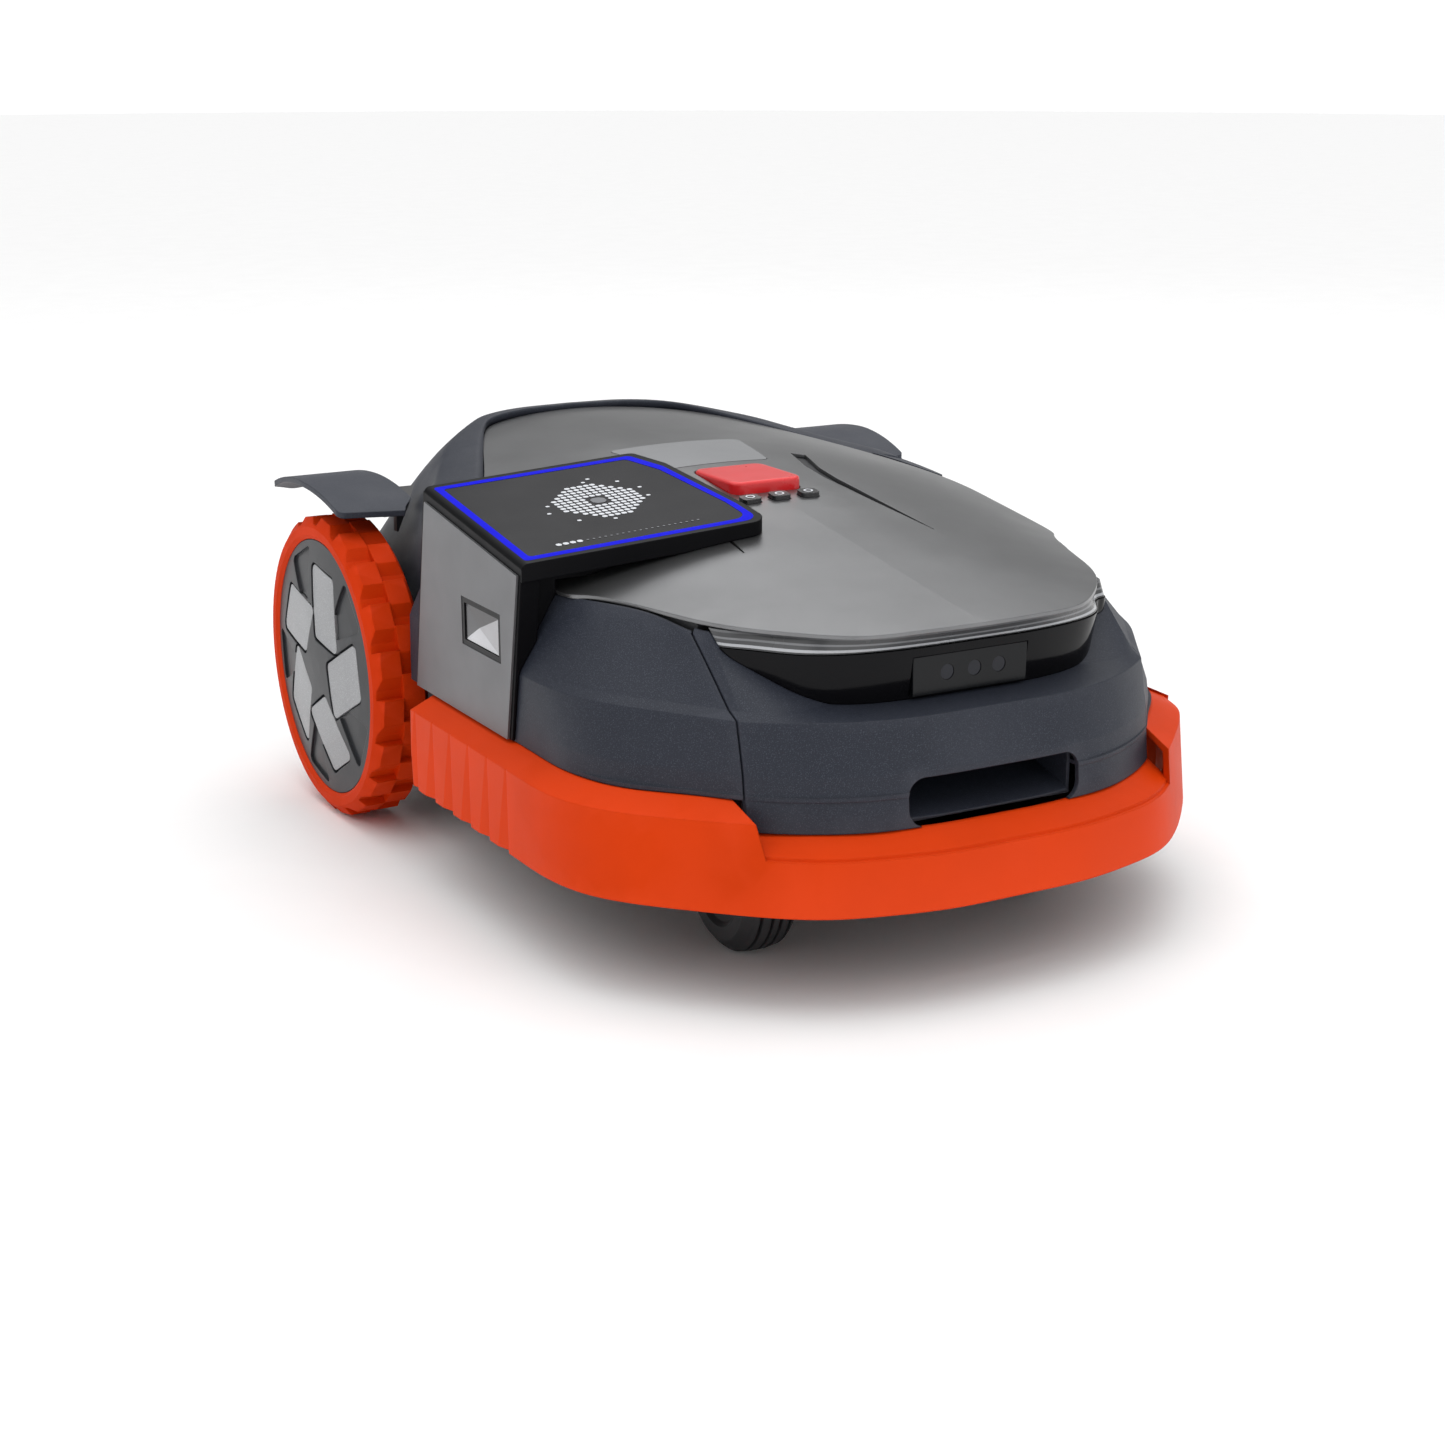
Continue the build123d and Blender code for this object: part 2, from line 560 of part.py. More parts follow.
def ratchet_ring(phase, x0, x1):
    """Half of the tread: ramped lugs with one steep side each."""
    points = []
    base = WHEEL_R - LUG_STEP
    for i in range(LUGS):
        start = 2 * pi * (i + phase) / LUGS
        top = start + 2 * pi / LUGS * 0.55
        for angle, radius in ((start, base), (start, WHEEL_R), (top, WHEEL_R - 0.8)):
            points.append((radius * cos(angle), radius * sin(angle)))
        fall = start + 2 * pi / LUGS * 0.8
        points.append(((base + 0.5) * cos(fall), (base + 0.5) * sin(fall)))
    ring = make_face(Polyline(*points, close=True)) - Circle(RIM_R)
    return Pos(x0, WHEEL_Y, WHEEL_R) * (Plane.YZ * extrude(ring, x1 - x0))


def revolve_x(points, close=True):
    """Solid of revolution about the wheel axle from (x, radius) points."""
    outline = make_face(Polyline(*points, close=close))
    ring = revolve(outline, Axis.X)
    return Pos(0, WHEEL_Y, WHEEL_R) * ring


def make_tyre():
    face, inner, mid = WHEEL_FACE_X, WHEEL_FACE_X - TYRE_W, WHEEL_FACE_X - TYRE_W / 2
    tread = ratchet_ring(0.0, mid - 0.01, face) + ratchet_ring(0.5, inner, mid)
    top = WHEEL_R + 1
    envelope = revolve_x([(inner, RIM_R), (inner, top - 9), (inner + 6, top), (face - 7, top),
                          (face, top - 9), (face, RIM_R + 3), (face - 2.5, RIM_R)])
    return common(tread, envelope)


def make_rim():
    inner = WHEEL_FACE_X - TYRE_W + 2
    ring = revolve_x([(inner, RIM_R), (inner, RIM_R - 6), (inner + 12, RIM_R - 8), (inner + 14, 24),
                      (inner + 4, 22), (inner + 4, AXLE_R), (244, AXLE_R), (244, 24), (243, 26),
                      (243, RIM_R - 7), (245, RIM_R - 3), (245, RIM_R)])
    holes = Part()
    for i in range(PAD_COUNT):
        angle = 2 * pi * i / PAD_COUNT
        y, z = WHEEL_Y - 58 * cos(angle), WHEEL_R + 58 * sin(angle)
        holes += tube_x(205, 250, 13, y, z)
    return ring - holes


def pad_plan(gap=0.0):
    """One slanted window of the hub cap, pointing forwards."""
    length, width = PAD_SIZE[0] + 2 * gap, PAD_SIZE[1] + 2 * gap
    lean = 9.0
    points = [(-length / 2 - lean / 2, -width / 2), (length / 2 - lean, -width / 2),
              (length / 2 + lean / 2, width / 2), (-length / 2 + lean, width / 2)]
    return make_face(FilletPolyline(*points, radius=5 + gap / 2, close=True))


def hub_place(face, index, radius, tilt, depth_x):
    """Lay a plan face on the hub cap at one of its five stations."""
    turned = Rot(0, 0, tilt) * face
    moved = Rot(0, 0, 360 / PAD_COUNT * index) * (Pos(radius, 0) * turned)
    return Pos(depth_x, WHEEL_Y, WHEEL_R) * (Plane((0, 0, 0), x_dir=(0, -1, 0), z_dir=(-1, 0, 0)) * moved)


def cap_dome(drop=0.0):
    """Shallow dome in four cones round a flat middle."""
    radius, fall = RIM_R - 0.5, CAP_TOP_X - CAP_EDGE_X
    slope = [(CAP_TOP_X - drop - fall * (r / radius) ** 2, r) for r in (30, 55, 78, radius)]
    return revolve_x([(240, 0), (CAP_TOP_X - drop, 0), (CAP_TOP_X - drop, 8)] + slope + [(240, radius)])


def make_hub_cap():
    cap = cap_dome() - tube_x(200, CAP_BACK_X, RIM_R + 5, WHEEL_Y, WHEEL_R)
    pocket_floor, sector_floor = cap_dome(3.4), cap_dome(2.2)
    sector = make_face(FilletPolyline((44, -2), (92, -22), (92, 22), (66, 14), radius=4, close=True))
    for i in range(PAD_COUNT):
        pocket = extrude(hub_place(pad_plan(1.8), i, PAD_R, PAD_TILT, 262), 16.0, dir=(-1, 0, 0))
        cap = cap - (Part() + (pocket - pocket_floor))
        recess = extrude(hub_place(sector, i + 0.5, 0, 6, 262), 16.0, dir=(-1, 0, 0))
        cap = cap - (Part() + (recess - sector_floor))
    return cap - tube_x(CAP_BACK_X - 1, 252, 13.5, WHEEL_Y, WHEEL_R)


def make_hub_inserts():
    pads = Part()
    for i in range(PAD_COUNT):
        pad = extrude(hub_place(pad_plan(0.0), i, PAD_R, PAD_TILT, 262), 12.0, dir=(-1, 0, 0))
        pads += common(pad, cap_dome(0.6)) - cap_dome(3.4)
    return pads


def make_axle():
    shaft = tube_x(150, 244, AXLE_R - 0.05, WHEEL_Y, WHEEL_R)
    nut = Pos(0, WHEEL_Y, WHEEL_R) * (Plane.YZ * extrude(RegularPolygon(11, 6), 4.5))
    return shaft + Pos(244, 0, 0) * nut


def make_gear_motor():
    """Gearbox with its motor can behind, gripping the axle in a long bearing."""
    gearbox = tube_x(134, 182, 40, WHEEL_Y, WHEEL_R) + tube_x(180, 206, 22, WHEEL_Y, WHEEL_R)
    can = tube_x(80, 136, 27, WHEEL_Y, WHEEL_R)
    foot = box(140, 170, WHEEL_Y - 30, WHEEL_Y + 28, PAN_Z + PAN_WALL, 84)
    return gearbox + can + foot - tube_x(145, 210, AXLE_R, WHEEL_Y, WHEEL_R)


# ---- chassis ------------------------------------------------------------
PAN_Z, PAN_TOP_Z = 62.0, 132.4
PAN_WALL = 3.5
CASTER_ROOF_Z = 103.0
CASTER_SWEEP_R = 74.0
BLADE_ROOF_Z = 97.0
BLADE_WELL_R = BLADE_R + 5.0
CARRIAGE_R = 60.0
ROD_X, ROD_R = 76.0, 5.0
SCREW_SPOTS = [(x, y) for x in (-160, 160) for y in (-70, 60)] + [(x, 300) for x in (-110, 0, 110)]
SCREW_R = 2.4


PAN_EDGE = [(0, -309), (50, -308), (88, -302), (115, -290), (149, -264), (177, -232), (201, -205),
            (216, -175), (219.5, -110), (219.5, 87), (189, 87), (188.5, 170), (184, 225), (176, 268),
            (158, 300), (125, 320), (69, 331), (0, 333.5)]


def pan_body(gap, z0, z1):
    outline = PAN_EDGE + [(-x, y) for x, y in PAN_EDGE[-2:0:-1]]
    face = make_face(Polyline(*outline, close=True))
    return prism(offset(face, -gap, kind=Kind.INTERSECTION) if gap else face, z0, z1)


def make_chassis_pan():
    domes = post(0, DISC_Y, PAN_Z, BLADE_ROOF_Z + PAN_WALL, BLADE_WELL_R + PAN_WALL)
    wells = post(0, DISC_Y, 50, BLADE_ROOF_Z, BLADE_WELL_R) + post(0, DISC_Y, 90, 140, CARRIAGE_R + 2)
    for side in (-1, 1):
        x, y = side * CASTER_X, CASTER_Y
        domes += post(x, y, PAN_Z, CASTER_ROOF_Z + PAN_WALL, CASTER_SWEEP_R + PAN_WALL)
        domes += post(x, y, PAN_Z, 128, 15) + post(side * ROD_X, DISC_Y, PAN_Z, 112, 11)
        wells += post(x, y, 50, CASTER_ROOF_Z, CASTER_SWEEP_R) + post(x, y, 90, 140, 10)
    hollow = Part() + (pan_body(PAN_WALL, PAN_Z + PAN_WALL, PAN_TOP_Z + 5) - domes)
    pan = Part() + (pan_body(0, PAN_Z, PAN_TOP_Z) - hollow)
    pan -= wells
    for side in (-1, 1):
        pan -= post(side * ROD_X, DISC_Y, 90, 120, ROD_R)
    for x, y in SCREW_SPOTS:
        pan -= post(x, y, 50, 70, SCREW_R)
    pan -= tube_x(-230, -130, 41, WHEEL_Y, WHEEL_R) + tube_x(130, 230, 41, WHEEL_Y, WHEEL_R)
    return pan - box(-150, 150, -330, -236, 104, 150)


def make_height_guides():
    rods = Part()
    for side in (-1, 1):
        rods += post(side * ROD_X, DISC_Y, BLADE_ROOF_Z + 1, 214, ROD_R)
    bridge = box(-ROD_X - 10, ROD_X + 10, DISC_Y - 9, DISC_Y + 9, 206, 212)
    return rods + bridge


def make_carriage():
    """Cylindrical carrier of the blade motor, sliding on two rods."""
    body = post(0, DISC_Y, 66, 150, CARRIAGE_R) - post(0, DISC_Y, 69, 151, CARRIAGE_R - 4)
    for side in (-1, 1):
        ear = box(min(side * 52, side * 88), max(side * 52, side * 88), DISC_Y - 12, DISC_Y + 12, 128, 148)
        body += ear
    body -= post(0, DISC_Y, 60, 151, 9)
    body -= post(0, DISC_Y, 69, 151, CARRIAGE_R - 4)
    for side in (-1, 1):
        body -= post(side * ROD_X, DISC_Y, 120, 150, ROD_R + 0.05)
    return body


def make_blade_motor():
    return post(0, DISC_Y, 69, 118, 34) - post(0, DISC_Y, 60, 100, 5.05)


def make_spindle():
    return post(0, DISC_Y, DISC_Z - 3, 99, 5) + post(0, DISC_Y, DISC_Z + 3, DISC_Z + 12, 14)


def blade_pivot(i):
    angle = 2 * pi * i / BLADES + pi / 2
    return 76 * cos(angle), DISC_Y + 76 * sin(angle)


BLADES = 3
BLADE_Z = (DISC_Z - 2.2, DISC_Z - 0.9)


def make_disc():
    disc = post(0, DISC_Y, DISC_Z, DISC_Z + 3, DISC_R) - post(0, DISC_Y, 30, 50, 5)
    for i in range(BLADES):
        x, y = blade_pivot(i)
        disc -= post(x, y, 30, 60, 2.5)
        spot = 2 * pi * (i + 0.5) / BLADES + pi / 2
        disc -= post(52 * cos(spot), DISC_Y + 52 * sin(spot), 30, 60, 12)
    rim = post(0, DISC_Y, DISC_Z + 2.5, DISC_Z + 8, DISC_R) - post(0, DISC_Y, 40, 60, DISC_R - 2)
    return disc + rim


def make_blade(i):
    """Razor blade flung outwards on its screw, ground on both long edges."""
    x, y = blade_pivot(i)
    angle = degrees(2 * pi * i / BLADES + pi / 2)
    z0, z1 = BLADE_Z
    outline = make_face(FilletPolyline((-8, -9), (34, -9), (40, -4), (40, 4), (34, 9), (-8, 9),
                                       radius=2, close=True))
    blade = extrude(outline, z1 - z0)
    blade -= Cylinder(2.56, 10)
    return Pos(x, y, z0) * (Rot(0, 0, angle) * blade)


def make_blade_screws():
    screws = Part()
    for i in range(BLADES):
        x, y = blade_pivot(i)
        screws += post(x, y, BLADE_Z[0] - 0.3, DISC_Z + 3.5, 2.5)
        screws += post(x, y, BLADE_Z[0] - 2.8, BLADE_Z[0] - 0.3, 5)
        screws += post(x, y, DISC_Z + 3.2, DISC_Z + 6.4, 4.2)
    return screws


def make_skid_plate():
    plate = post(0, DISC_Y, DISC_Z - 8, DISC_Z - 5.6, 62) + post(0, DISC_Y, DISC_Z - 6, DISC_Z - 3.2, 20)
    return chamfer(plate.faces().sort_by(Axis.Z)[0].edges(), 1.2) - post(0, DISC_Y, 20, 60, 3)


# ---- front casters ------------------------------------------------------
CASTER_WHEEL_Y = CASTER_Y + CASTER_TRAIL
STEM_R, PIN_R = 7.0, 4.0
FORK_HALF = CASTER_W / 2 + 2.0


def make_caster_fork():
    """Left fork: a stem, a crown and two legs that hold the axle pin."""
    x, y = CASTER_X, CASTER_Y
    fork = post(x, y, 96, 134, STEM_R - 0.05) + post(x, y, 134, 137, STEM_R + 2)
    crown_plate = box(x - FORK_HALF - 4, x + FORK_HALF + 4, y - 16, y + 27, 95, 99.5)
    fork += fillet(crown_plate.edges().filter_by(Axis.Z), 8)
    for side in (-1, 1):
        x0 = x + side * FORK_HALF if side > 0 else x - FORK_HALF - 4
        leg = Plane.YZ * make_face(FilletPolyline((y - 9, 97), (y + 25, 97), (CASTER_WHEEL_Y + 10, CASTER_R - 6),
                                                  (CASTER_WHEEL_Y - 10, CASTER_R - 6), radius=4, close=True))
        fork += Pos(x0, 0, 0) * extrude(leg, 4, dir=(1, 0, 0))
    pin = tube_x(x - FORK_HALF - 5, x + FORK_HALF + 4, PIN_R, CASTER_WHEEL_Y, CASTER_R)
    head = tube_x(x + FORK_HALF + 4, x + FORK_HALF + 6.5, PIN_R + 2, CASTER_WHEEL_Y, CASTER_R)
    return fork + pin + head


def caster_revolve(points):
    return Pos(CASTER_X, CASTER_WHEEL_Y, CASTER_R) * revolve(make_face(Polyline(*points, close=True)), Axis.X)


def make_caster_rim():
    half = CASTER_W / 2
    rim = caster_revolve([(-half - 1, PIN_R + 0.06), (-half - 1, 11), (-half + 3, 12), (-half + 3, 24),
                          (-half, 27), (half, 27), (half - 3, 24), (half - 3, 12), (half + 1, 11),
                          (half + 1, PIN_R + 0.06)])
    return rim


def make_caster_tyre():
    """Soft rounded tyre with grooves running round it."""
    half, r = CASTER_W / 2, CASTER_R
    shoulder = [(-half, 27), (-half, 36), (-half + 5, r - 4)]
    tread = [(-12.5, r - 1.2), (-12, r - 4), (-10.5, r - 4), (-10, r - 0.8), (-4.5, r), (-4, r - 3),
             (-2.5, r - 3), (-2, r), (2, r), (2.5, r - 3), (4, r - 3), (4.5, r), (10, r - 0.8),
             (10.5, r - 4), (12, r - 4), (12.5, r - 1.2)]
    far = [(half - 5, r - 4), (half, 36), (half, 27)]
    return caster_revolve(shoulder + tread + far)


def make_caster_bush():
    x, y = CASTER_X, CASTER_Y
    return post(x, y, CASTER_ROOF_Z, 130, 10) - post(x, y, 90, 140, STEM_R)


# ---- controls -----------------------------------------------------------
def make_stop_button():
    cap = prism(stop_plan(), 262, STOP_TOP)
    cap = fillet(cap.faces().sort_by(Axis.Z)[-1].edges(), 2.5)
    return cap - box(-STOP_X + 5, STOP_X - 5, STOP_Y[0] + 5, STOP_Y[1] - 5, 255, 274) + post(0, 0, 256, 275, 6)


def make_stop_switch():
    base = box(-26, 26, -22, 22, 226, 247) - post(0, 0, 240, 250, 7)
    return base + (post(0, 0, 246, 251, 12) - post(0, 0, 240, 260, 7))


def make_key(x):
    cap = prism(key_plan(x), 256, 280)
    top = arched_slab(key_plan(x), PLATE_CROWN, 3.2, 9.5)
    return common(cap, top)


def make_keypad_panel():
    return arched_slab(keypad_plan(), PLATE_CROWN, 0.25, PLATE_T - 0.3)


# ---- inner machinery ----------------------------------------------------
def make_battery():
    pack = prism(rounded(-62, 62, 128, 296, 8), 70, 138)
    for x in (-40, 0, 40):
        pack -= box(x - 12, x + 12, 126, 300, 136.5, 140)
    return pack + box(-74, 74, 140, 284, 65.5, 70.5)


def make_control_board():
    board = box(-62, 62, 48, 96, 108, 110)
    for x, y, w, d, h in ((-36, 76, 22, 20, 6), (0, 74, 30, 26, 10), (38, 72, 18, 22, 8)):
        board += box(x - w / 2, x + w / 2, y - d / 2, y + d / 2, 109, 110 + h)
    for x in (-40, 40):
        board += post(x, 58, BLADE_ROOF_Z + PAN_WALL, 109, 3)
    return board


def make_antenna():
    return post(0, 220, 262, 276, 38) + post(0, 220, 254, 263, 12)


def make_casing_screws():
    """Screws that hold the pan's floor to the casing."""
    screws = Part()
    for x, y in SCREW_SPOTS:
        head = post(x, y, PAN_Z - 2.4, PAN_Z, 5) - Pos(x, y, PAN_Z - 2.4) * Cylinder(2.6, 3)
        screws += head + post(x, y, PAN_Z - 0.5, PAN_Z + 16, SCREW_R)
    return screws


# ---- build --------------------------------------------------------------
def main():
    os.makedirs("parts", exist_ok=True)
    front, right, rear = make_panels()
    save("front_panel", front - dock_opening(2.8))
    save("left_side_panel", mirror_x(right))
    save("right_side_panel", right)
    rear -= tube_x(-230, 230, 24, WHEEL_Y, WHEEL_R)
    save("rear_casing", rear)
    save("inner_deck", make_deck())
    save("top_plate", make_top_plate())
    save("front_visor", make_visor())
    save("light_strip", make_light_strip())
    save("sensor_window", make_sensor_window())
    save("sensor_lenses", make_sensor_lenses())
    save("dock_liner", make_dock_liner())
    save("charge_contacts", make_charge_contacts())
    save("bumper", make_bumper())
    save("display_housing", make_display_housing())
    save("display_glass", make_display_glass())
    save("side_ribbon", make_side_ribbon())
    save("side_camera_frame", make_side_camera())
    save("side_camera_lens", make_side_camera_lens())
    save("keypad_panel", make_keypad_panel())
    save("stop_button", make_stop_button())
    save("stop_switch", make_stop_switch())
    for name, x in zip(("key_right", "key_middle", "key_left"), KEY_X):
        save(name, make_key(x))
    mirrored = {"fender": make_fender(), "tyre": make_tyre(), "wheel_rim": make_rim(),
                "hub_cap": make_hub_cap(), "hub_inserts": make_hub_inserts(), "axle": make_axle(),
                "caster_fork": make_caster_fork(), "caster_rim": make_caster_rim(),
                "caster_tyre": make_caster_tyre()}
    for name, shape in mirrored.items():
        save("left_" + name, shape)
        save("right_" + name, mirror_x(shape))
    pairs = {"fender_arms": make_fender_arm(), "gear_motors": make_gear_motor(),
             "caster_bushes": make_caster_bush()}
    for name, shape in pairs.items():
        pair = Part() + shape + mirror_x(shape)
        save(name, pair - rear if name == "fender_arms" else pair)
    save("chassis_pan", make_chassis_pan())
    save("height_guides", make_height_guides())
    save("deck_carriage", make_carriage())
    save("blade_motor", make_blade_motor())
    save("blade_spindle", make_spindle())
    save("blade_disc", make_disc())
    save("blade_screws", make_blade_screws())
    save("skid_plate", make_skid_plate())
    for i in range(BLADES):
        save("blade_" + str(i + 1), make_blade(i))
    save("battery_pack", make_battery())
    save("control_board", make_control_board())
    save("antenna_puck", make_antenna())
    save("casing_screws", make_casing_screws())


if __name__ == "__main__":
    main()
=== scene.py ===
import json
import math

import bmesh
import bpy
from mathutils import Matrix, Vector


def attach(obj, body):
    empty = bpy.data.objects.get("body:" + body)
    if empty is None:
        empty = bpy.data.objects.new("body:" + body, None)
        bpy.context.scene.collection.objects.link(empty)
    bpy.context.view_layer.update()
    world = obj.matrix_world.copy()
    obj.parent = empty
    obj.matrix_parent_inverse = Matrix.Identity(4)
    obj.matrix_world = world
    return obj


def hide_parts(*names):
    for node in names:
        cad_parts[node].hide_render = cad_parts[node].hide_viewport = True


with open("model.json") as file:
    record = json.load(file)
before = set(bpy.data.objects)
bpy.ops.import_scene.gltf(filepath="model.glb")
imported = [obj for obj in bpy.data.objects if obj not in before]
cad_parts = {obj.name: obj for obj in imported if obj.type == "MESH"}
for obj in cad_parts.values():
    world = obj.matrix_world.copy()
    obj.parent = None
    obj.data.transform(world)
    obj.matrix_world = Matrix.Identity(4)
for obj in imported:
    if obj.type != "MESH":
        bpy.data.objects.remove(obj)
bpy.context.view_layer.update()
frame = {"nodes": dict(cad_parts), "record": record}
NODES = frame["nodes"]


# ---- material helpers ---------------------------------------------------
BLOTCH_SCALE = 14.0          # broad colour variation, cycles per metre
SMEAR_SCALE = 38.0           # roughness variation
RELIEF_M = 0.0004            # depth of the grain


def link(tree, a, out, b, into):
    tree.links.new(a.outputs[out], b.inputs[into])


def finish_material(name, color, rough, metal=0.0, spread=0.12, grain=420.0, bump=0.15, speck=None,
                    coat=0.0, spec=0.5, rough_var=0.08, edge_lift=0.0, round_edge=0.0, anis=None,
                    emit=None):
    """Procedural finish. Colours are linear; grain is in cycles per metre.

    spread varies the colour, speck = (amount, colour, scale) sprinkles pale grains, the edge amount
    lightens raised edges found by pointiness, anis stretches the grain per axis and emit = (colour,
    strength) makes it glow.
    """
    m = bpy.data.materials.new(name)
    m.use_nodes = True
    t = m.node_tree
    n = t.nodes
    bsdf = n["Principled BSDF"]
    bsdf.inputs["Metallic"].default_value = metal
    bsdf.inputs["Specular IOR Level"].default_value = spec
    bsdf.inputs["Coat Weight"].default_value = coat
    bsdf.inputs["Coat Roughness"].default_value = 0.12
    place = n.new("ShaderNodeTexCoord")

    blotch = n.new("ShaderNodeTexNoise")
    blotch.inputs["Scale"].default_value = BLOTCH_SCALE
    blotch.inputs["Detail"].default_value = 3.0
    link(t, place, "Object", blotch, "Vector")
    shade = n.new("ShaderNodeValToRGB")
    dark = [c * (1 - spread) for c in color]
    light = [min(1.0, c * (1 + spread)) for c in color]
    shade.color_ramp.elements[0].position = 0.3
    shade.color_ramp.elements[0].color = (*dark, 1)
    shade.color_ramp.elements[1].position = 0.7
    shade.color_ramp.elements[1].color = (*light, 1)
    link(t, blotch, "Fac", shade, "Fac")
    last, out = shade, "Color"

    fine = n.new("ShaderNodeTexNoise")
    fine.inputs["Scale"].default_value = grain
    fine.inputs["Detail"].default_value = 4.0
    fine.inputs["Roughness"].default_value = 0.6
    link(t, place, "Object", fine, "Vector")

    if speck:
        amount, pale, scale = speck
        dots = n.new("ShaderNodeTexNoise")
        dots.inputs["Scale"].default_value = scale
        dots.inputs["Detail"].default_value = 1.0
        link(t, place, "Object", dots, "Vector")
        pick = n.new("ShaderNodeValToRGB")
        pick.color_ramp.elements[0].position = 0.56
        pick.color_ramp.elements[0].color = (0, 0, 0, 1)
        pick.color_ramp.elements[1].position = 0.70
        pick.color_ramp.elements[1].color = (amount, amount, amount, 1)
        link(t, dots, "Fac", pick, "Fac")
        mix = n.new("ShaderNodeMix")
        mix.data_type = "RGBA"
        t.links.new(pick.outputs["Color"], mix.inputs[0])
        t.links.new(last.outputs[out], mix.inputs[6])
        mix.inputs[7].default_value = (*pale, 1)
        last, out = mix, 2

    # Lightens raised edges, found by pointiness, towards a paler copy of the colour.
    if edge_lift:
        point = n.new("ShaderNodeNewGeometry")
        ramp = n.new("ShaderNodeValToRGB")
        ramp.color_ramp.elements[0].position = 0.52
        ramp.color_ramp.elements[0].color = (0, 0, 0, 1)
        ramp.color_ramp.elements[1].position = 0.62
        ramp.color_ramp.elements[1].color = (edge_lift, edge_lift, edge_lift, 1)
        link(t, point, "Pointiness", ramp, "Fac")
        edge_lift_mix = n.new("ShaderNodeMix")
        edge_lift_mix.data_type = "RGBA"
        t.links.new(ramp.outputs["Color"], edge_lift_mix.inputs[0])
        t.links.new(last.outputs[out], edge_lift_mix.inputs[6])
        edge_lift_mix.inputs[7].default_value = (*[min(1.0, c * 1.5 + 0.03) for c in color], 1)
        last, out = edge_lift_mix, 2
    t.links.new(last.outputs[out], bsdf.inputs["Base Color"])

    vary = n.new("ShaderNodeMapRange")
    vary.inputs["To Min"].default_value = max(0.02, rough - rough_var)
    vary.inputs["To Max"].default_value = min(1.0, rough + rough_var)
    smear = n.new("ShaderNodeTexNoise")
    smear.inputs["Scale"].default_value = SMEAR_SCALE
    smear.inputs["Detail"].default_value = 5.0
    link(t, place, "Object", smear, "Vector")
    link(t, smear, "Fac", vary, "Value")
    link(t, vary, "Result", bsdf, "Roughness")

    relief = n.new("ShaderNodeBump")
    relief.inputs["Strength"].default_value = bump
    relief.inputs["Distance"].default_value = RELIEF_M
    link(t, fine, "Fac", relief, "Height")
    if round_edge:
        bevel = n.new("ShaderNodeBevel")
        bevel.samples = 6
        bevel.inputs["Radius"].default_value = round_edge
        link(t, bevel, "Normal", relief, "Normal")
    link(t, relief, "Normal", bsdf, "Normal")

    if anis:
        streak = n.new("ShaderNodeMapping")
        streak.inputs["Scale"].default_value = anis
        link(t, place, "Object", streak, "Vector")
        t.links.new(streak.outputs["Vector"], fine.inputs["Vector"])
    if emit:
        bsdf.inputs["Emission Color"].default_value = (*emit[0], 1)
        bsdf.inputs["Emission Strength"].default_value = emit[1]
    return m


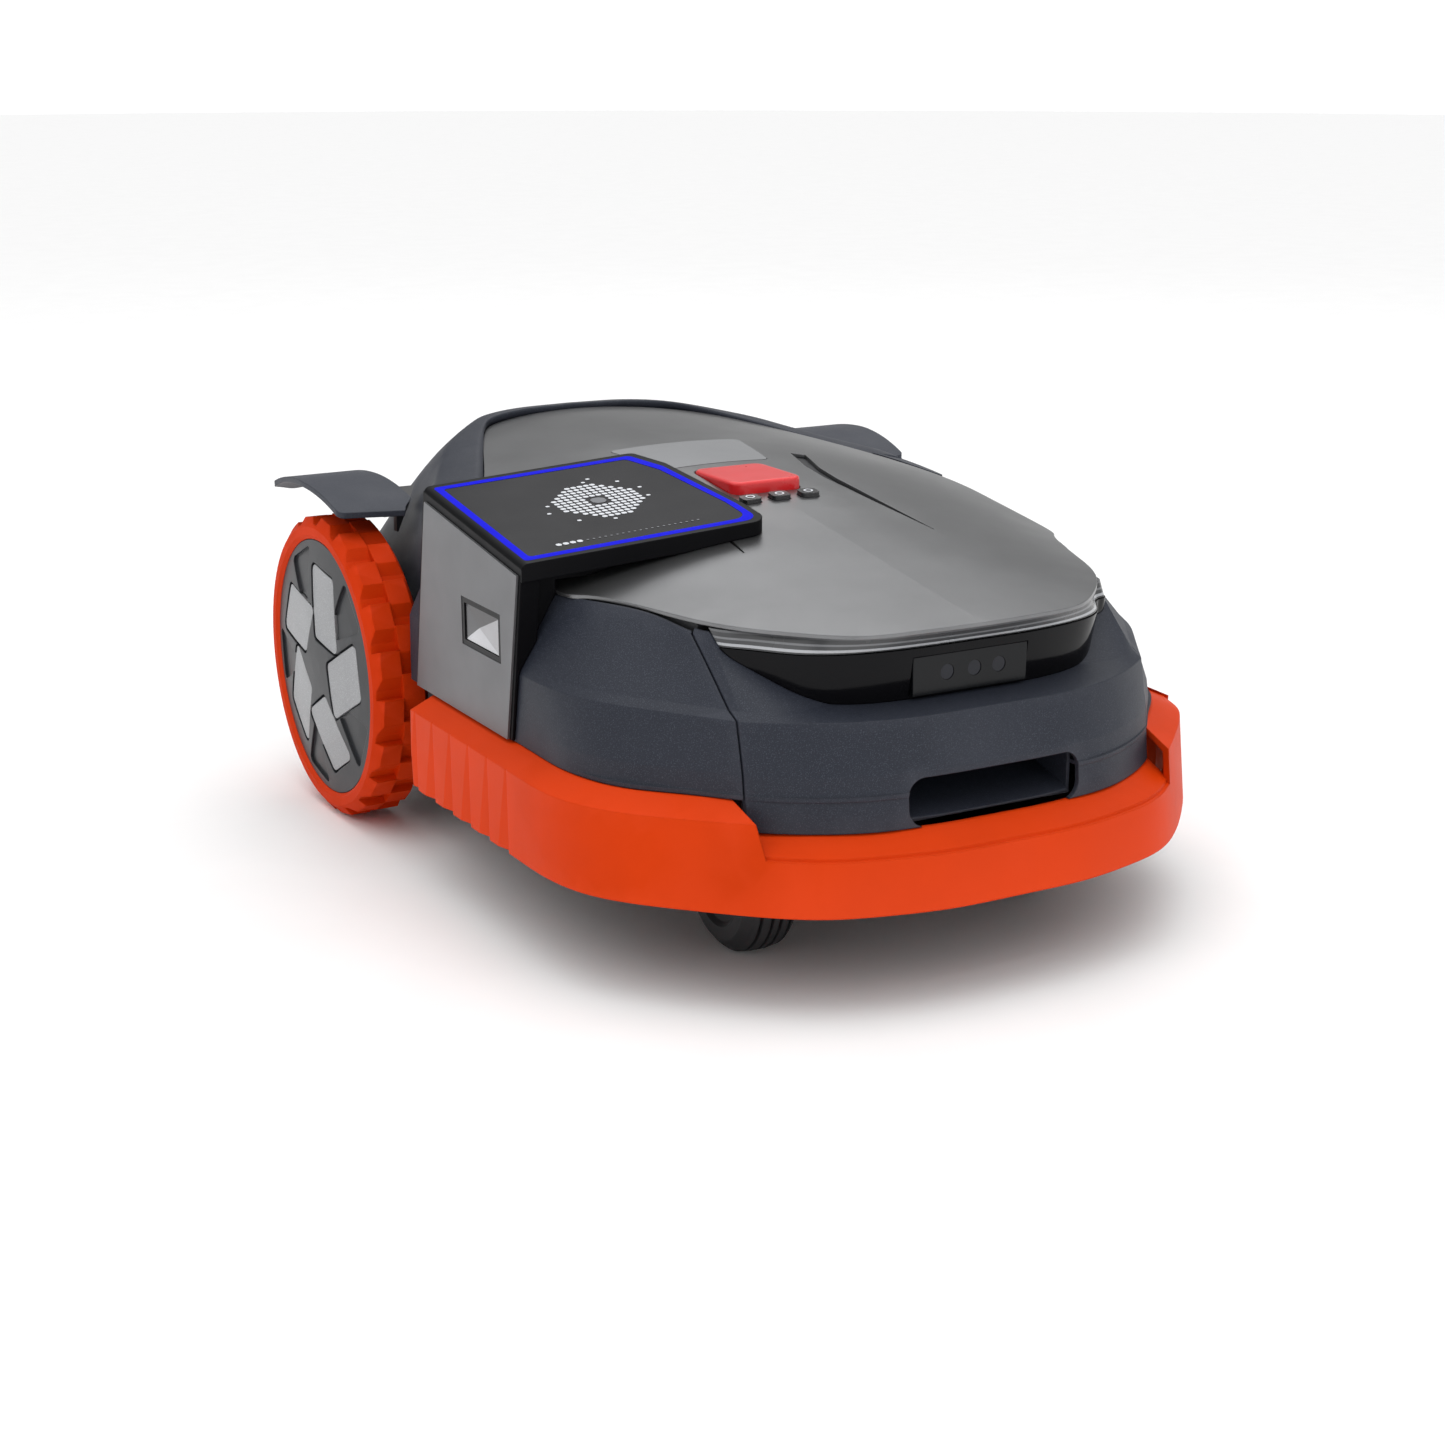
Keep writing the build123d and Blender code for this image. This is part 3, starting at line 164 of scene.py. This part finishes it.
SLATE = (0.019, 0.0225, 0.034)
ORANGE = (0.66, 0.044, 0.001)
MATERIALS = {
    "body_shell": finish_material("slate shell", SLATE, 0.52, spec=0.3, spread=0.06, grain=900, bump=0.35,
                                  speck=(0.40, (0.085, 0.097, 0.125), 1500), edge_lift=0.35,
                                  round_edge=0.0012),
    "top_satin": finish_material("satin plate", (0.185, 0.187, 0.192), 0.33, metal=0.9, spread=0.05,
                                 grain=1500, bump=0.08, edge_lift=0.3, rough_var=0.04, round_edge=0.001,
                                 speck=(0.14, (0.27, 0.275, 0.285), 1800)),
    "visor_gloss": finish_material("gloss visor", (0.004, 0.004, 0.005), 0.10, spec=0.12, spread=0.1,
                                   grain=300, bump=0.01, rough_var=0.03, round_edge=0.0008),
    "light_strip": finish_material("frosted light strip", (0.42, 0.43, 0.45), 0.26, spread=0.08,
                                   grain=260, bump=0.1, round_edge=0.0006),
    "sensor_window": finish_material("smoked window", (0.004, 0.0045, 0.006), 0.16, spec=0.25, spread=0.1,
                                     grain=300, bump=0.02, rough_var=0.03),
    "lens": finish_material("lens", (0.012, 0.013, 0.020), 0.08, spread=0.2, bump=0.0, spec=0.3,
                            rough_var=0.02),
    "contact_metal": finish_material("contact plating", (0.78, 0.57, 0.27), 0.28, metal=1.0,
                                     bump=0.05, anis=(300, 20, 1500)),
    "bumper_orange": finish_material("orange bumper", ORANGE, 0.5, spec=0.08, spread=0.05, grain=700,
                                     bump=0.22, edge_lift=0.25, rough_var=0.07, round_edge=0.0016),
    "display_housing": finish_material("display housing", (0.005, 0.005, 0.006), 0.35, spec=0.06, grain=500,
                                       bump=0.05, round_edge=0.0012),
    "display_glass": finish_material("display glass", (0.008, 0.008, 0.010), 0.22, spread=0.08,
                                     spec=0.05, grain=900, bump=0.01, rough_var=0.04),
    "ribbon_satin": finish_material("satin ribbon", (0.135, 0.138, 0.145), 0.40, metal=0.45,
                                    spread=0.05, grain=1300, bump=0.06, edge_lift=0.2),
    "camera_frame": finish_material("camera frame", (0.004, 0.004, 0.005), 0.25, bump=0.02, spec=0.1),
    "keypad_grey": finish_material("keypad panel", (0.25, 0.255, 0.265), 0.38, metal=0.3, spread=0.04,
                                   grain=1200, bump=0.05),
    "stop_red": finish_material("stop red", (0.76, 0.018, 0.022), 0.30, spread=0.05, grain=800,
                                bump=0.08, coat=0.25, round_edge=0.0016),
    "key_black": finish_material("key black", (0.010, 0.010, 0.012), 0.25, bump=0.04, coat=0.3,
                                 round_edge=0.0010),
    "trim_black": finish_material("trim black", (0.014, 0.014, 0.017), 0.45, grain=700, bump=0.2),
    "inner_black": finish_material("inner black", (0.020, 0.021, 0.024), 0.6, grain=600, bump=0.2),
    "tyre_orange": finish_material("orange rubber", (0.58, 0.034, 0.001), 0.65, spec=0.06, spread=0.08,
                                   grain=600, bump=0.35, edge_lift=0.35, rough_var=0.1,
                                   round_edge=0.0012),
    "rim_dark": finish_material("rim", (0.020, 0.021, 0.025), 0.5, grain=700, bump=0.15),
    "hub_dark": finish_material("hub cap", (0.022, 0.0235, 0.027), 0.38, spec=0.3, spread=0.08, grain=900,
                                bump=0.12, edge_lift=0.3, round_edge=0.0010),
    "hub_silver": finish_material("hub insert", (0.30, 0.305, 0.315), 0.38, metal=0.5, spread=0.05,
                                  grain=900, bump=0.25, round_edge=0.0008,
                                  speck=(0.6, (0.55, 0.56, 0.58), 1300)),
    "steel": finish_material("brushed steel", (0.52, 0.53, 0.55), 0.32, metal=1.0, bump=0.12,
                             grain=500, anis=(1, 14, 1)),
    "motor_grey": finish_material("motor grey", (0.09, 0.095, 0.105), 0.45, metal=0.3, grain=500),
    "caster_black": finish_material("caster black", (0.016, 0.016, 0.018), 0.5, grain=600, bump=0.2),
    "caster_rubber": finish_material("caster rubber", (0.017, 0.017, 0.019), 0.68, grain=500,
                                     bump=0.35, edge_lift=0.3, round_edge=0.0008),
    "carriage_grey": finish_material("carriage grey", (0.07, 0.075, 0.085), 0.55, grain=500),
    "disc_orange": finish_material("disc orange", (0.75, 0.06, 0.008), 0.45, grain=500, bump=0.15),
    "skid_black": finish_material("skid black", (0.02, 0.02, 0.023), 0.5, grain=400, bump=0.2,
                                  speck=(0.3, (0.08, 0.08, 0.085), 300)),
    "battery_blue": finish_material("battery wrap", (0.02, 0.05, 0.14), 0.4, grain=300),
    "board_green": finish_material("circuit board", (0.01, 0.09, 0.03), 0.35, grain=900),
}
SLOT_OF = {s["node"]: s["material_slot"] for s in frame["record"]["subparts"]}
for node, obj in NODES.items():
    for i in range(len(obj.material_slots)):
        obj.material_slots[i].material = MATERIALS[SLOT_OF[node]]


# ---- mesh helpers -------------------------------------------------------
def mm(*v):
    return Vector([c / 1000 for c in v])


def new_piece(name, verts, faces, slot, body, material=None, smooth=False):
    mesh = bpy.data.meshes.new(name)
    mesh.from_pydata([tuple(v) for v in verts], [], faces)
    mesh.update()
    bm = bmesh.new()
    bm.from_mesh(mesh)
    bmesh.ops.recalc_face_normals(bm, faces=bm.faces)
    bm.to_mesh(mesh)
    bm.free()
    obj = bpy.data.objects.new(name, mesh)
    bpy.context.collection.objects.link(obj)
    mesh.materials.append(material or MATERIALS[slot])
    if smooth:
        for p in mesh.polygons:
            p.use_smooth = True
    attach(obj, body)
    return obj


def rounded_loop(points, radii, steps=6):
    """Closed 2D outline with each corner rounded by its own radius."""
    out = []
    count = len(points)
    for i, (p, r) in enumerate(zip(points, radii)):
        p = Vector(p)
        a = (Vector(points[i - 1]) - p).normalized()
        b = (Vector(points[(i + 1) % count]) - p).normalized()
        if r <= 0:
            out.append(p)
            continue
        half = math.acos(max(-1, min(1, a.dot(b)))) / 2
        reach = r / math.tan(half)
        centre = p + (a + b).normalized() * (r / math.sin(half))
        start, end = p + a * reach - centre, p + b * reach - centre
        turn = math.atan2(start.x * end.y - start.y * end.x, start.dot(end))
        for k in range(steps + 1):
            angle = turn * k / steps
            c, s = math.cos(angle), math.sin(angle)
            out.append(centre + Vector((start.x * c - start.y * s, start.x * s + start.y * c)))
    return out


def paint_light_bands(material, low, high, bands):
    """Paints light and shade: multiplies the base colour by (share of height, value) bands between two
    local heights.
    """
    t = material.node_tree
    socket = t.nodes["Principled BSDF"].inputs["Base Color"]
    before = socket.links[0].from_socket
    place, split = t.nodes.new("ShaderNodeTexCoord"), t.nodes.new("ShaderNodeSeparateXYZ")
    share, ramp = t.nodes.new("ShaderNodeMapRange"), t.nodes.new("ShaderNodeValToRGB")
    link(t, place, "Object", split, "Vector")
    share.inputs["From Min"].default_value, share.inputs["From Max"].default_value = low, high
    link(t, split, "Z", share, "Value")
    ramp.color_ramp.interpolation = "CONSTANT"
    for k, (at, value) in enumerate(bands):
        stop = ramp.color_ramp.elements[k] if k < 2 else ramp.color_ramp.elements.new(at)
        stop.position = at
        stop.color = (value, value, value, 1)
    link(t, share, "Result", ramp, "Fac")
    product = t.nodes.new("ShaderNodeMix")
    product.data_type, product.blend_type = "RGBA", "MULTIPLY"
    product.inputs[0].default_value = 1.0
    t.links.new(before, product.inputs[6])
    t.links.new(ramp.outputs["Color"], product.inputs[7])
    t.links.new(product.outputs[2], socket)


# Painted light on the light strip: a painted highlight band near its lower edge, painted shade above it
# under the plate's overhang, and a paler mid band.
strip_heights = [corner[2] for corner in NODES["light_strip"].bound_box]
paint_light_bands(MATERIALS["light_strip"], min(strip_heights), max(strip_heights),
            [(0.0, 0.10), (0.10, 1.0), (0.26, 0.16), (0.48, 0.45), (0.60, 0.14), (0.86, 0.30)])


# ---- rear casing: one smooth crowned shell ------------------------------
def resample(points, count, reach=24):
    """Evenly spaced points along a smooth curve through the given ones."""
    pts = [Vector(p) for p in points]
    pts = [2 * pts[0] - pts[1]] + pts + [2 * pts[-1] - pts[-2]]
    dense = []
    for i in range(1, len(pts) - 2):
        a, b, c, d = pts[i - 1:i + 3]
        for k in range(reach):
            t = k / reach
            dense.append(0.5 * (2 * b + (c - a) * t + (2 * a - 5 * b + 4 * c - d) * t * t
                                + (3 * b - a - 3 * c + d) * t ** 3))
    dense.append(pts[-2])
    runs = [0.0]
    for a, b in zip(dense, dense[1:]):
        runs.append(runs[-1] + (b - a).length)
    out, j = [], 0
    for k in range(count):
        want = runs[-1] * k / (count - 1)
        while j < len(runs) - 2 and runs[j + 1] < want:
            j += 1
        f = (want - runs[j]) / max(1e-9, runs[j + 1] - runs[j])
        out.append(dense[j].lerp(dense[j + 1], f))
    return out


def rear_casing():
    """Skin lofted between the tail's foot, its crest and the groove round the plate."""
    count = 56
    foot = resample([(201.5, 97.6, 0), (201, 150, 0), (197, 222, 0), (188, 273, 0), (168, 310, 0),
                     (130, 331, 0), (70, 343, 0), (0, 345.4, 0)], count)
    crest = resample([(200.5, 97.6, 257), (199, 128, 259.5), (178, 160, 264), (159, 193, 270),
                      (141, 224, 276.5), (121, 249, 281), (101, 270, 285), (79, 288, 288),
                      (46, 297, 290), (0, 299, 290.5)], count)
    groove = resample([(167.5, 97.6, 262), (153.5, 126, 266.5), (130.5, 178, 275), (113, 216, 280.5),
                       (97.5, 248, 284.5), (80.5, 271, 287.4), (48, 283, 289.6), (0, 287, 290.2)], count)
    rows = []
    for f, c, g in zip(foot, crest, groove):
        up = Vector((f.x, f.y, 0))
        line = [up + Vector((0, 0, z)) for z in (64, 66, 110, 150, 176)]
        low, pull = Vector((f.x, f.y, 190)), Vector((f.x, f.y, 0)).lerp(Vector((c.x, c.y, 0)), 0.70)
        pull.z = c.z - 14
        for k in range(13):
            t = k / 12
            line.append(low.lerp(pull, t).lerp(pull.lerp(c, t), t))
        over = c.lerp(g, 0.35)
        over.z = max(c.z, g.z) + 0.6
        lip = g.copy()
        lip.z = max(g.z + 1.2, (g.z + c.z) / 2)
        for k in range(1, 8):
            t = k / 7
            line.append(c.lerp(over, t).lerp(over.lerp(lip, t), t))
        line += [Vector((g.x, g.y, g.z - 0.5)), Vector((g.x, g.y, g.z - 5))]
        rows.append([v / 1000 for v in line])
    rows += [[Vector((-v.x, v.y, v.z)) for v in r] for r in rows[-2::-1]]
    wide = len(rows[0])
    verts = [v for r in rows for v in r]
    faces = [(i * wide + j, (i + 1) * wide + j, (i + 1) * wide + j + 1, i * wide + j + 1)
             for i in range(len(rows) - 1) for j in range(wide - 1)]
    obj = new_piece("rear_shell", verts, faces, "body_shell", "chassis", smooth=True)
    thick = obj.modifiers.new("wall", "SOLIDIFY")
    thick.thickness = 0.003
    thick.offset = -1
    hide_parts("rear_casing")
    return obj


rear_casing()

# ---- display graphics ---------------------------------------------------
SLAB_X, SLAB_Y = (-231.0, -43.0), (-107.0, 54.0)
FACE_CORNER = (-231.0, -107.5, 258.0)        # outer front corner of the sloping face
FACE_RISE_X, FACE_RISE_Y = 0.06, 0.15033     # its slopes


def face_z(x, y):
    return FACE_CORNER[2] + FACE_RISE_Y * (y - FACE_CORNER[1]) + FACE_RISE_X * (x - FACE_CORNER[0])


def on_face(x, y, rise):
    return mm(x, y, face_z(x, y) + rise)


def slab_loop(gap):
    """Outline of the display, in from its edge by gap."""
    (x0, x1), (y0, y1) = SLAB_X, SLAB_Y
    points = [(x0 + gap, y0 + gap), (x1 - gap - 2, y0 + gap), (x1 - gap - 2, y0 + gap + 32),
              (x1 - gap - 12, y1 - gap - 30), (x1 - gap - 24, y1 - gap), (x0 + gap, y1 - gap)]
    return rounded_loop(points, [3, 11, 9, 7, 5, 3])


GLOW_BLUE = finish_material("blue line", (0.002, 0.003, 0.42), 0.45, spread=0.05, bump=0.0, spec=0.03,
                            emit=((0.002, 0.003, 1.0), 0.30))
PRINT_WHITE = finish_material("pale print", (0.66, 0.68, 0.72), 0.5, spread=0.04, bump=0.0)
PRINT_GREY = finish_material("grey print", (0.15, 0.155, 0.17), 0.5, spread=0.04, bump=0.0)


def ribbon_between(name, outer, inner, rise, slot, body, material):
    """Thin band between two loops of equal length on the display face."""
    verts, faces = [], []
    count = len(outer)
    for o, i in zip(outer, inner):
        verts += [on_face(o.x, o.y, rise), on_face(i.x, i.y, rise)]
    for k in range(count):
        a, b = 2 * k, 2 * ((k + 1) % count)
        faces.append((a, b, b + 1, a + 1))
    obj = new_piece(name, verts, faces, slot, body, material)
    solid = obj.modifiers.new("thickness", "SOLIDIFY")
    solid.thickness = 0.00012
    return obj


ribbon_between("display_blue_line", slab_loop(5.0), slab_loop(10.4), 0.12, "display_glass",
               "chassis", GLOW_BLUE)


def dot_field(name, dots, slot, body, material, rise=0.12):
    """Flat printed dots: (x, y, half width, half depth) on the display face."""
    verts, faces = [], []
    for x, y, a, b in dots:
        base = len(verts)
        for k in range(8):
            angle = math.pi / 4 * (k + 0.5)
            cx = max(-1, min(1, 1.25 * math.cos(angle)))
            cy = max(-1, min(1, 1.25 * math.sin(angle)))
            verts.append(on_face(x + a * cx, y + b * cy, rise))
        faces.append(tuple(range(base, base + 8)))
    return new_piece(name, verts, faces, slot, body, material)


RING_AT = (-133.0, -23.0)
RING_HOLE, RING_REACH, RING_PITCH = 9.0, 30.5, 4.9
ROW_Y = -86.0
STRAY_DOTS = ((-37, 4), (36, -6), (6, 36), (12, 41), (-5, -36), (38, 11), (-42, -9), (29, 28), (-29, -29))
ring = []
for i in range(-7, 8):
    for j in range(-7, 8):
        u, v = i * RING_PITCH, j * RING_PITCH
        r = max(abs(u), abs(v), (abs(u) + abs(v)) * 0.70)
        if RING_HOLE < r < RING_REACH:
            ring.append((RING_AT[0] + u, RING_AT[1] + v, 2.0, 1.75))
for u, v in STRAY_DOTS:
    ring.append((RING_AT[0] + u, RING_AT[1] + v, 1.5, 1.3))
dot_field("display_dot_ring", ring, "display_glass", "chassis", PRINT_WHITE)
dot_field("display_dot_hub", [(*RING_AT, 5.4, 5.0)], "display_glass", "chassis", PRINT_GREY)
row = [(-194 + 5.2 * k, ROW_Y, 2.0, 2.0) for k in range(4)]
dot_field("display_dot_row", row, "display_glass", "chassis", PRINT_WHITE)
tail_row = [(-172.5 + 4.4 * k, ROW_Y, 0.85, 0.8) for k in range(20)]
dot_field("display_dot_tail", tail_row, "display_glass", "chassis", PRINT_GREY)


# ---- side camera: a shallow silver funnel behind the frame, its facets painted lit and shaded ---
def painted_light_facet(name, shade):
    return finish_material("silver lens " + name, (shade, shade, shade * 1.04), 0.24, metal=0.9,
                           spread=0.15, grain=300, bump=0.05)


lens = NODES["side_camera_lens"]
corners = [lens.matrix_world @ Vector(c) for c in lens.bound_box]
near_x, far_x = min(c.x for c in corners), max(c.x for c in corners)
lens_y = min(c.y for c in corners), max(c.y for c in corners)
lens_z = min(c.z for c in corners), max(c.z for c in corners)
deep_y, deep_z = lens_y[0] * 0.35 + lens_y[1] * 0.65, lens_z[0] * 0.55 + lens_z[1] * 0.45
rim = [(near_x, lens_y[0], lens_z[0]), (near_x, lens_y[1], lens_z[0]),
       (near_x, lens_y[1], lens_z[1]), (near_x, lens_y[0], lens_z[1])]
back = [(far_x, y, z) for _, y, z in rim]
deepest = (far_x - 0.0002, deep_y, deep_z)
facets = [(k, (k + 1) % 4, 8) for k in range(4)]
walls = [(k, k + 4, (k + 1) % 4 + 4, (k + 1) % 4) for k in range(4)]
funnel = new_piece("camera_funnel", rim + back + [deepest], facets + walls + [(4, 7, 6, 5)],
                   "lens", "chassis", painted_light_facet("bright", 0.52))
# Painted light and shade per facet: the bottom facet painted bright, the top painted dark, one side painted
# mid and the other dim.
for k, (name, shade) in enumerate([("dim", 0.12), ("dark", 0.07), ("mid", 0.36)], start=1):
    funnel.data.materials.append(painted_light_facet(name, shade))
    funnel.data.polygons[k].material_index = k
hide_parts("side_camera_lens")


# ---- marks on the three keys ---------------------------------------------
CROWN_SLOPE = 0.1456         # rise of the plate per unit of run at the keys
MARK_RADII = (0.0036, 0.0024)


def key_mark(side, around=24):
    """Thin printed ring on the sloping top of one key."""
    cap = NODES["key_" + side]
    spots = [cap.matrix_world @ v.co for v in cap.data.vertices]
    cx = (min(p.x for p in spots) + max(p.x for p in spots)) / 2
    cy = (min(p.y for p in spots) + max(p.y for p in spots)) / 2
    highest = sorted(spots, key=lambda p: -p.z + CROWN_SLOPE * p.y)[0]
    verts, faces = [], []
    for k in range(around):
        angle = 2 * math.pi * k / around
        for radius in MARK_RADII:
            x, y = cx + radius * math.cos(angle), cy + 0.8 * radius * math.sin(angle)
            verts.append((x, y, highest.z + CROWN_SLOPE * (y - highest.y) + 0.00005))
        a, b = 2 * k, 2 * ((k + 1) % around)
        faces.append((a, b, b + 1, a + 1))
    mark = new_piece("key_mark_" + side, verts, faces, "key_black", side + "_key", PRINT_WHITE)
    mark.modifiers.new("thickness", "SOLIDIFY").thickness = 0.0001


for side in ("left", "middle", "right"):
    key_mark(side)


# ---- floor, lights, camera ----------------------------------------------
FLOOR_RADII = (3.0, 9.0, 14.0)


def studio_floor():
    """Round pale floor that runs far past the object."""
    around = 72
    verts = [(r * math.cos(2 * math.pi * i / around), r * math.sin(2 * math.pi * i / around), 0.0)
             for i in range(around) for r in FLOOR_RADII]
    verts.append((0, 0, 0))
    wide = len(FLOOR_RADII)
    faces = []
    for i in range(around):
        a, b = i * wide, (i + 1) % around * wide
        faces.append((len(verts) - 1, a, b))
        faces += [(a + j, a + j + 1, b + j + 1, b + j) for j in range(wide - 1)]
    mesh = bpy.data.meshes.new("floor")
    mesh.from_pydata(verts, [], faces)
    for p in mesh.polygons:
        p.use_smooth = True
    mesh.materials.append(finish_material("floor", (0.97, 0.97, 0.97), 0.8, spread=0.01, bump=0.0,
                                          spec=0.2))
    obj = bpy.data.objects.new("floor", mesh)
    bpy.context.collection.objects.link(obj)


studio_floor()


def area(name, at, target, size, power, color=(1, 1, 1)):
    data = bpy.data.lights.new(name, "AREA")
    data.shape = "RECTANGLE"
    data.size, data.size_y = size
    data.energy = power
    data.color = color
    lamp = bpy.data.objects.new(name, data)
    lamp.location = at
    lamp.rotation_euler = (Vector(target) - Vector(at)).to_track_quat("-Z", "Y").to_euler()
    bpy.context.collection.objects.link(lamp)


CENTRE = (0, 0, 0.12)
area("top softbox", (-0.1, -0.2, 2.6), CENTRE, (2.4, 2.0), 14)
area("front softbox", (0.9, -2.8, 1.2), CENTRE, (2.0, 1.0), 6)
area("side softbox", (-2.8, -0.9, 1.2), CENTRE, (1.4, 1.2), 3)
area("rear softbox", (1.6, 2.2, 2.3), CENTRE, (1.8, 1.0), 6)

# Brightness of the studio by the sine of the height above the horizon.
STUDIO_STOPS = [(0.0, 1.1), (0.07, 1.1), (0.15, 0.22), (0.40, 0.22), (0.64, 1.15)]
STUDIO_STRENGTH = 1.10


def studio_world():
    world = bpy.data.worlds.new("studio")
    world.use_nodes = True
    tree = world.node_tree
    place = tree.nodes.new("ShaderNodeTexCoord")
    split = tree.nodes.new("ShaderNodeSeparateXYZ")
    sky = tree.nodes.new("ShaderNodeValToRGB")
    for k, (at, value) in enumerate(STUDIO_STOPS):
        stop = sky.color_ramp.elements[k] if k < 2 else sky.color_ramp.elements.new(at)
        stop.position = at
        stop.color = (value, value, value, 1)
    link(tree, place, "Generated", split, "Vector")
    link(tree, split, "Z", sky, "Fac")
    link(tree, sky, "Color", tree.nodes["Background"], "Color")
    tree.nodes["Background"].inputs["Strength"].default_value = STUDIO_STRENGTH
    bpy.context.scene.world = world


studio_world()
bpy.context.scene.view_settings.view_transform = "Standard"

CAMERA_AT, CAMERA_TARGET = (-0.8682, -1.4980, 0.6019), (-0.02533, -0.0074, 0.09635)
CAMERA_LENS = 60.06
camera_data = bpy.data.cameras.new("camera")
camera_data.sensor_width = 36.0
camera_data.lens = CAMERA_LENS
camera_data.clip_end = 60.0
camera = bpy.data.objects.new("camera", camera_data)
camera.location = CAMERA_AT
aim = Vector(CAMERA_TARGET) - camera.location
camera.rotation_euler = aim.to_track_quat("-Z", "Y").to_euler()
bpy.context.collection.objects.link(camera)
bpy.context.scene.camera = camera
